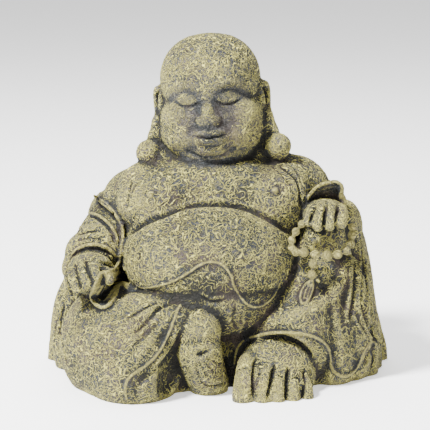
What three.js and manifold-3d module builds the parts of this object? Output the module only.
// A seated garden figure of the budai kind, cast in one piece: bald and bare-chested, one leg
// folded and one knee raised, the robe fallen to the elbows, the end of the sash in one hand and
// a string of prayer beads under the other.
// Millimetres, +Z up. The figure looks along -Y, and +X is to the right of someone facing it.
// The origin is on the underside, below the middle of the trunk.
import * as THREE from 'three';
import { mergeVertices } from 'three/addons/utils/BufferGeometryUtils.js';
import Module from 'manifold-3d';

const wasm = await Module();
wasm.setup();

// Driving sizes
const HEIGHT = 300;
const BEAD_DIAMETER = 8.8;
const HEM_THICKNESS = 4.4;
const FINGER_DIAMETER = 8.4;
const PLEAT_DEPTH = 3.2;
const FOLD_HEIGHT = 4;
const CREASE_DEPTH = 2.6;

// The figure is carved by proportion. Its free forms are placed in modules, 300 to the height.
const MODULES_TALL = 300;
const MODULE = HEIGHT / MODULES_TALL;

const FRONT = new THREE.Vector3(0, -1, 0);
const OUT = new THREE.Vector3(1, 0, 0);
const SIDES = [-1, 1];

const at = (x, y, z) => new THREE.Vector3(x, y, z).multiplyScalar(MODULE);
const modules = (size) => size / MODULE;
const curveThrough = (points) => new THREE.CatmullRomCurve3(points.map((p) => at(...p)));

// The value at share `t` of an evenly spread list.
function along(list, t) {
  if (list.length === 1) return list[0];
  const place = t * (list.length - 1);
  const i = Math.min(Math.floor(place), list.length - 2);
  return THREE.MathUtils.lerp(list[i], list[i + 1], place - i);
}

// A closed three.js geometry as a solid, with its faces turned outwards.
function solid(geometry) {
  const bare = new THREE.BufferGeometry();
  bare.setAttribute('position', geometry.getAttribute('position'));
  bare.setIndex(geometry.index);
  const merged = mergeVertices(bare, 1e-4);
  const triangles = [];
  for (let i = 0; i < merged.index.count; i += 3) {
    const [a, b, c] = merged.index.array.slice(i, i + 3);
    if (a !== b && b !== c && c !== a) triangles.push(a, b, c);
  }
  const made = (triVerts) => new wasm.Manifold(new wasm.Mesh({
    numProp: 3,
    vertProperties: new Float32Array(merged.attributes.position.array),
    triVerts: new Uint32Array(triVerts),
  }));
  const piece = made(triangles);
  return piece.volume() > 0 ? piece : made(triangles.reverse());
}

function toGeometry(piece) {
  const { vertProperties, triVerts } = piece.getMesh();
  const geometry = new THREE.BufferGeometry();
  geometry.setAttribute('position', new THREE.BufferAttribute(new Float32Array(vertProperties), 3));
  geometry.setIndex(new THREE.BufferAttribute(new Uint32Array(triVerts), 1));
  return geometry;
}

const fuse = (pieces) => pieces.reduce((whole, piece) => whole.add(piece));

// An egg-shaped mass, tipped by `lean` degrees to the side.
function egg(centre, radii, { lean = 0, around = 12, down = 6 } = {}) {
  const [rx, ry, rz] = radii;
  const { x, y, z } = at(...centre);
  const geometry = new THREE.SphereGeometry(MODULE, around, down);
  geometry.rotateX(Math.PI / 2);
  geometry.scale(rx, ry, rz);
  geometry.rotateY(THREE.MathUtils.degToRad(lean));
  geometry.translate(x, y, z);
  return solid(geometry);
}

// How far a ray from inside reaches to leave an egg. Past the egg's rim it fades by `GRAZE`.
const GRAZE = 6;
function reachOut(ray, { start, size }) {
  const step = ray.clone().divide(size);
  const middle = -start.dot(step) / step.lengthSq();
  const spread = middle ** 2 - (start.lengthSq() - 1) / step.lengthSq();
  const reach = middle + Math.sqrt(Math.max(spread, 0));
  const fade = Math.exp((GRAZE * Math.min(spread, 0)) / middle ** 2);
  return Math.max(reach * fade, 0);
}

// One smooth skin over several egg-shaped masses, [centre, radii], as seen from a point inside.
// Where two masses meet, it bridges the angle between them over about `soft` modules.
function skin(inside, masses, { around, down, soft }) {
  const geometry = new THREE.SphereGeometry(1, around, down).rotateX(Math.PI / 2);
  const position = geometry.getAttribute('position');
  const from = new THREE.Vector3(...inside);
  const eggs = masses.map(([centre, radii]) => {
    const size = new THREE.Vector3(...radii);
    return { size, start: from.clone().sub(new THREE.Vector3(...centre)).divide(size) };
  });
  for (let i = 0; i < position.count; i++) {
    const ray = new THREE.Vector3().fromBufferAttribute(position, i).normalize();
    const reaches = eggs.map((mass) => reachOut(ray, mass));
    const far = Math.max(...reaches);
    const blend = reaches.reduce((sum, reach) => sum + Math.exp((reach - far) / soft), 0);
    const point = from.clone().addScaledVector(ray, far + soft * Math.log(blend));
    position.setXYZ(i, point.x * MODULE, point.y * MODULE, point.z * MODULE);
  }
  return solid(geometry);
}

// A lathed profile of [radius, share of length], bent along a curve. One of its edges points
// towards `facing`. `deep` scales it that way, for the standing edge of a cloth, and is below
// nothing where the edge points into the body, as in a cut.
function bend(curve, profile, { sides, deep = 1, facing = FRONT }) {
  const lathed = profile.map(([radius, t]) => new THREE.Vector2(radius, t));
  const geometry = new THREE.LatheGeometry(lathed, sides, Math.PI / 2);
  const position = geometry.getAttribute('position');
  for (let i = 0; i < position.count; i++) {
    const t = THREE.MathUtils.clamp(position.getY(i), 0, 1);
    const tangent = curve.getTangentAt(t);
    const normal = facing.clone().addScaledVector(tangent, -facing.dot(tangent)).normalize();
    const across = tangent.clone().cross(normal);
    const point = curve.getPointAt(t)
      .addScaledVector(normal, position.getX(i) * deep)
      .addScaledVector(across, position.getZ(i));
    position.setXYZ(i, point.x, point.y, point.z);
  }
  return solid(geometry);
}

// A round-ended roll along a smooth curve, thick by `radii`, which are spread evenly along it.
function roll(points, radii, { sides = 5, steps = 4, deep = 1, facing = FRONT } = {}) {
  const curve = curveThrough(points);
  const length = curve.getLength();
  const profile = [];
  for (let i = 0; i <= steps; i++) {
    const t = (1 - Math.cos((Math.PI * i) / steps)) / 2;
    const radius = along(radii, t) * MODULE;
    const inset = Math.min(1, (Math.min(t, 1 - t) * length) / radius);
    profile.push([radius * Math.sqrt(1 - (1 - inset) ** 2), t]);
  }
  return bend(curve, profile, { sides, deep, facing });
}

// Round beads strung along a smooth curve, each touching the next at a thin neck.
const BEAD_NECK = 0.3;
const BEAD_SHOULDERS = [0.22, 0.78];
function beads(points) {
  const curve = curveThrough(points);
  const count = Math.round(curve.getLength() / BEAD_DIAMETER);
  const radius = BEAD_DIAMETER / 2;
  const profile = [[0, 0]];
  for (let i = 0; i < count; i++) {
    if (i > 0) profile.push([BEAD_NECK * radius, i / count]);
    profile.push(...BEAD_SHOULDERS.map((place) => [radius, (i + place) / count]));
  }
  profile.push([0, 1]);
  return bend(curve, profile, { sides: 6 });
}

// Cloth that hangs round a core: an upright loft through oval sections, each [height, centre x,
// centre y, radius x, radius y]. Its pleats deepen from nothing at the top to the hem.
function drape(sections, { around, down, pleats = 0 }) {
  const centres = curveThrough(sections.map(([z, x, y]) => [x, y, z]));
  const ovals = curveThrough(sections.map(([, , , rx, ry]) => [rx, ry, 0]));
  const geometry = new THREE.CylinderGeometry(1, 1, 1, around, down);
  const position = geometry.getAttribute('position');
  for (let i = 0; i < position.count; i++) {
    const share = THREE.MathUtils.clamp(position.getY(i) + 0.5, 0, 1);
    const reach = Math.hypot(position.getX(i), position.getZ(i));
    const angle = Math.atan2(position.getZ(i), position.getX(i));
    const centre = centres.getPoint(share);
    const oval = ovals.getPoint(share);
    const out = pleats ? PLEAT_DEPTH * (1 - share) * Math.cos(pleats * angle) : 0;
    const x = centre.x + reach * Math.cos(angle) * (oval.x + out);
    const y = centre.y + reach * Math.sin(angle) * (oval.y + out);
    position.setXYZ(i, x, y, centre.z);
  }
  return solid(geometry);
}

// Lays points, given as [x, z], on the surface that faces the viewer, raised by `lift`. A point
// that misses the edge of the body slides in towards its middle until it lands.
const SLIDE = 0.98;
function layerOn(body) {
  const bothSides = new THREE.MeshBasicMaterial({ side: THREE.DoubleSide });
  const surface = new THREE.Mesh(toGeometry(body), bothSides);
  const caster = new THREE.Raycaster();
  const lay = (x, z, lift) => {
    caster.set(at(x, -2 * MODULES_TALL, z), FRONT.clone().negate());
    const [hit] = caster.intersectObject(surface);
    return hit ? [x, modules(hit.point.y) - lift, z] : lay(x * SLIDE, z * SLIDE, lift);
  };
  return (points, lift = 0) => points.map(([x, z]) => lay(x, z, lift));
}

// The head, carved upright about its own middle, then set on the neck a little turned and tipped.
// The long ears end in round balls that rest on the shoulders.
const HEAD_PLACE = [-5, 2, 236];
const HEAD_TURN = [0, -3.6, -4];
const LOBE_RADIUS = 12.5;

function ear(s) {
  const rim = [[s * 42, 2, 7], [s * 46, 8, 12], [s * 48, 12, 6], [s * 48, 11, -6], [s * 48, 5, -17]];
  const lobe = [[s * 47, 5, -10], [s * 50, 1, -24], [s * 55, -3, -34]];
  return [
    roll(rim, [3, 4.5, 4.5, 4, 5], { steps: 5, facing: OUT }),
    egg([s * 44, 5, -3], [4, 8, 12], { around: 5, down: 4 }),
    roll(lobe, [6, 7, 10], { sides: 6, steps: 3 }),
    egg([s * 56, -4, -36], [LOBE_RADIUS, LOBE_RADIUS, LOBE_RADIUS], { around: 9 }),
  ];
}

function head() {
  const skull = skin([0, 0, 0], [
    [[0, 7, 20], [42, 45, 42.5]],
    [[0, -2, -13], [46, 41, 33]],
    [[0, -14, -34], [36, 31, 20]],
  ], { around: 20, down: 14, soft: 3 });
  const lay = layerOn(skull);
  const halves = SIDES.flatMap((s) => [
    roll(lay([[s * 5, 21], [s * 18, 26], [s * 33, 19]]), [1.5, 2.6, 1.5], { sides: 3 }),
    egg(lay([[s * 18, 10]], -3)[0], [9, 6, 4.5], { around: 6, down: 4 }),
    ...ear(s),
  ]);
  const nose = [...lay([[0, 18]]), ...lay([[0, 6]], 4), ...lay([[0, -6]], 6)];
  const features = [
    roll(nose, [3, 5, 7], { sides: 6 }),
    roll(lay([[-14, -22], [-5, -20.5], [5, -20.5], [14, -22]]), [1.2, 2.6, 1.2], { sides: 4, steps: 6 }),
    roll(lay([[-11, -24], [0, -26], [11, -24]]), [1.2, 3, 1.2], { sides: 4 }),
  ];
  const place = at(...HEAD_PLACE);
  return fuse([skull, ...halves, ...features]).rotate(HEAD_TURN).translate([place.x, place.y, place.z]);
}

// The bare trunk: belly, breasts, chest, neck and shoulders.
function torso() {
  return skin([-4, 0, 140], [
    [[-6, -26, 108], [76, 62, 57]],
    [[-45, -18, 154], [42, 32, 30]],
    [[40, -18, 156], [42, 32, 30]],
    [[-3, -4, 170], [66, 44, 27]],
    [[-2, 8, 164], [76, 40, 34]],
    [[-68, 10, 147], [35, 32, 34]],
    [[64, 10, 152], [35, 32, 36]],
    [[-2, 10, 130], [76, 50, 60]],
  ], { around: 30, down: 20, soft: 3 });
}

// The robe behind and beside the body, from the elbows to the ground.
function robeBack() {
  return drape([
    [-4, 2, 30, 153, 62],
    [14, 2, 30, 152, 62],
    [39, 1, 28, 146, 60],
    [68, 1, 26, 139, 58],
    [106, 2, 24, 132, 54],
    [128, 4, 22, 124, 50],
    [146, 3, 20, 114, 46],
    [160, 2, 18, 100, 42],
  ], { around: 45, down: 4, pleats: 15 });
}

const finger = (points) => roll(points, [modules(FINGER_DIAMETER / 2)]);
const FINGERS = [0, 1, 2, 3];

// The arm that holds the sash, its sleeve bunched between the open collar and the cuff.
function sashArm() {
  const collar = [[-106, 4, 156], [-95, -16, 152], [-84, -28, 142], [-77, -38, 126], [-76, -46, 106]];
  const folded = (i) => finger([
    [-126 + 7.2 * i, -56, 103 + 2.4 * i],
    [-125 + 7.6 * i, -72, 97 + 2 * i],
    [-124 + 7.6 * i, -76, 86 + 2 * Math.abs(i - 1)],
  ]);
  return fuse([
    roll([[-72, 14, 146], [-92, 16, 134], [-99, 8, 118]], [30, 26, 22], { sides: 8 }),
    roll([[-92, 24, 136], [-97, -2, 122], [-108, -36, 99]], [21, 25, 21], { sides: 10, steps: 5 }),
    roll(collar, [3, 7, 7, 5, 3], { steps: 7, deep: 0.6 }),
    egg([-108, -50, 98], [21, 20, 18]),
    ...FINGERS.map(folded),
    finger([[-97, -56, 104], [-91, -68, 100], [-90, -76, 94]]),
  ]);
}

// The arm that rests on the raised knee, its sleeve open in a flared cuff behind the hand.
function beadArm() {
  const mouth = egg([94, -12, 151], [17, 20, 17], { around: 10 });
  const resting = (i) => finger([
    [81 + 8 * i, -46, 152 - (i % 3 === 0)],
    [77.5 + 9.4 * i, -61, 147],
    [75.5 + 9.8 * i, -62, 138 - 2 * (i % 3 > 0)],
  ]);
  return fuse([
    roll([[72, 14, 152], [94, 20, 142], [100, 14, 130]], [28, 26, 24], { sides: 8 }),
    egg([95, 4, 148], [20, 18, 22], { down: 8 }).subtract(mouth),
    roll([[96, 10, 142], [94, -16, 147], [93, -40, 147]], [14, 14, 13], { sides: 7, steps: 3 }),
    egg([93, -38, 147], [21, 20, 13]),
    ...FINGERS.map(resting),
  ]);
}

// The folded leg under its cloth, which is hollowed beside the foot that stands on its toes.
function foldedLeg() {
  const cloth = skin([-76, -56, 30], [
    [[-88, -36, 32], [49, 60, 54]],
    [[-71, -66, 26], [43, 51, 50]],
    [[-56, -64, 54], [52, 33, 31]],
    [[-30, -66, 56], [26, 28, 28]],
  ], { around: 20, down: 13, soft: 4 });
  return fuse([
    cloth.subtract(egg([-24, -108, 34], [22, 30, 44], { lean: 24 })),
    egg([-14, -80, 55], [18, 18, 20]),
    egg([-5, -84, 26], [16, 15, 27], { lean: -12 }),
  ]);
}

// The cloth over the lap, drawn down between the legs.
function lap() {
  return fuse([
    egg([-6, -30, 80], [68, 54, 42], { around: 16, down: 7 }),
    egg([14, -18, 44], [62, 40, 56]),
  ]);
}

// The raised leg: cloth drawn over the shin and fanned out beside it, and the foot below. Across
// each toe, from the great toe outwards, are its middle and its half width.
const TOES = [[21.5, 10], [38.5, 7.6], [51.5, 6.2], [64, 6.8], [76, 6]];

function raisedLeg() {
  const toe = ([x, half], i) => roll([
    [x + 2, -74, 28 - i],
    [x + 1, -90 + i, 20 - i],
    [x, -107 - 4 * Math.sin(i) + 2.5 * i, 4],
  ], [half], { sides: 6 });
  const shin = [
    [-4, 66, -14, 40, 44],
    [20, 66, -22, 42, 46],
    [50, 64, -34, 44, 50],
    [80, 76, -28, 42, 47],
    [110, 88, -22, 37, 42],
    [135, 93, -22, 30, 34],
    [150, 94, -22, 14, 16],
  ];
  const skirt = [
    [-4, 101, 8, 43, 48],
    [30, 103, 6, 40, 46],
    [70, 102, 3, 34, 42],
    [110, 100, 0, 28, 36],
    [142, 98, 0, 20, 26],
  ];
  return fuse([
    drape(shin, { around: 17, down: 5 }),
    drape(skirt, { around: 33, down: 3, pleats: 11 }),
    egg([50, -62, 16], [36, 34, 36], { down: 7 }),
    ...TOES.map(toe),
  ]);
}

// Lines drawn on the front as points of [x, z]. Hems stand up thin and rounded: across the lap,
// down the folded leg, over the foot, and round the cuff of the hand that holds the sash.
const HEMS = [
  [[-82, 98], [-56, 94], [-37, 100], [-22, 110], [-7, 116], [4, 113], [12, 102], [19, 88], [28, 80],
    [38, 78], [48, 83], [57, 93], [61, 106]],
  [[-30, 80], [-38, 66], [-43, 50], [-52, 32], [-66, 15], [-78, 4]],
  [[18, 38], [26, 50], [40, 56], [61, 55], [76, 48], [86, 34], [92, 12]],
  [[-128, 100], [-121, 112], [-107, 119], [-94, 115], [-85, 106]],
];

// Folds are ridges of cloth that fade at their ends: beside the raised leg, down the back hem,
// over the folded leg and below the open collar.
const FOLDS = [
  [[117, 140], [127, 98], [134, 50], [144, 14]],
  [[112, 132], [119, 91], [126, 44], [136, 8]],
  [[106, 112], [108, 72], [104, 30]],
  [[-129, 92], [-138, 50], [-145, 10]],
  [[-44, 76], [-62, 68], [-80, 58]],
  [[-54, 84], [-72, 76], [-88, 66]],
  [[-116, 138], [-100, 136], [-90, 126], [-86, 112]],
];

// Creases are cut in: under the chest, beside the armpits, in the sleeve and beside the shin.
const CREASES = [
  [[-76, 127], [-57, 141], [-31, 152], [-2, 157], [28, 152], [54, 141], [68, 128]],
  [[-67, 176], [-71, 168], [-75, 157]],
  [[65, 184], [69, 172], [74, 157]],
  [[-116, 130], [-104, 132], [-95, 130]],
  [[110, 126], [114, 80], [122, 30]],
];

// The end of the sash, standing on edge in one long S from the hand to the lap.
const SASH = [[-79, 112], [-80, 104], [-92, 105], [-100, 100], [-102, 90], [-96, 80], [-88, 82],
  [-83, 94], [-74, 96]];

// The strand of beads hangs free from the hand and lies on the knee at its lowest. Its short end
// lies below, with a tassel.
const STRAND = [[72, -58, 144], [66, -56, 136], [63, -56, 127], [66, -58, 120], [74, -60, 118],
  [88, -63, 116], [102, -61, 117], [110, -56, 120], [115, -49, 129], [115, -44, 139]];
const PENDANT = [[82, 113], [80, 95]];
const TASSEL = [[78, 92], [72, 78]];
const NIPPLES = [[-56, 167], [49, 169]];

function creases(lay) {
  const cut = modules(CREASE_DEPTH);
  const shape = { sides: 3, deep: -1 };
  return CREASES.map((line) => roll(lay(line), [1, cut, cut, 1], { ...shape, steps: 2 * line.length }));
}

function trimmings(lay) {
  const hem = modules(HEM_THICKNESS / 2);
  const ridge = modules(FOLD_HEIGHT);
  const beadLift = modules(BEAD_DIAMETER / 4);
  return [
    ...HEMS.map((line) => roll(lay(line), [hem], { sides: 4, steps: Math.ceil(1.5 * line.length) })),
    ...FOLDS.map((line) => roll(lay(line), [1, ridge, ridge, 1], { sides: 3, steps: 5 })),
    ...lay(NIPPLES).map((place) => egg(place, [2.6, 2.6, 2.6], { around: 6, down: 4 })),
    roll(lay(SASH, hem), [hem], { sides: 4, steps: 18, deep: 2.4 }),
    beads(STRAND),
    beads(lay(PENDANT, beadLift)),
    roll(lay(TASSEL, 2), [2.5, 5, 2.5], { steps: 5 }),
  ];
}

// The whole casting stands on a flat underside, and any pocket sealed inside it is filled.
const body = fuse([head(), torso(), robeBack(), sashArm(), beadArm(), foldedLeg(), lap(), raisedLeg()]);
const lay = layerOn(body);
const room = 4 * HEIGHT;
const aboveGround = solid(new THREE.BoxGeometry(room, room, room).translate(0, 0, room / 2));
const carved = body.subtract(fuse(creases(lay)));
const whole = fuse([carved, ...trimmings(lay)]).intersect(aboveGround);
const casting = fuse(whole.decompose().filter((piece) => piece.volume() > 0));

const stone = new THREE.MeshStandardMaterial({ color: 0x8b8a63, roughness: 0.9, metalness: 0 });
const figure = new THREE.Mesh(toGeometry(casting), stone);
figure.name = 'budai_casting';

const group = new THREE.Group();
group.add(figure);
export default group;
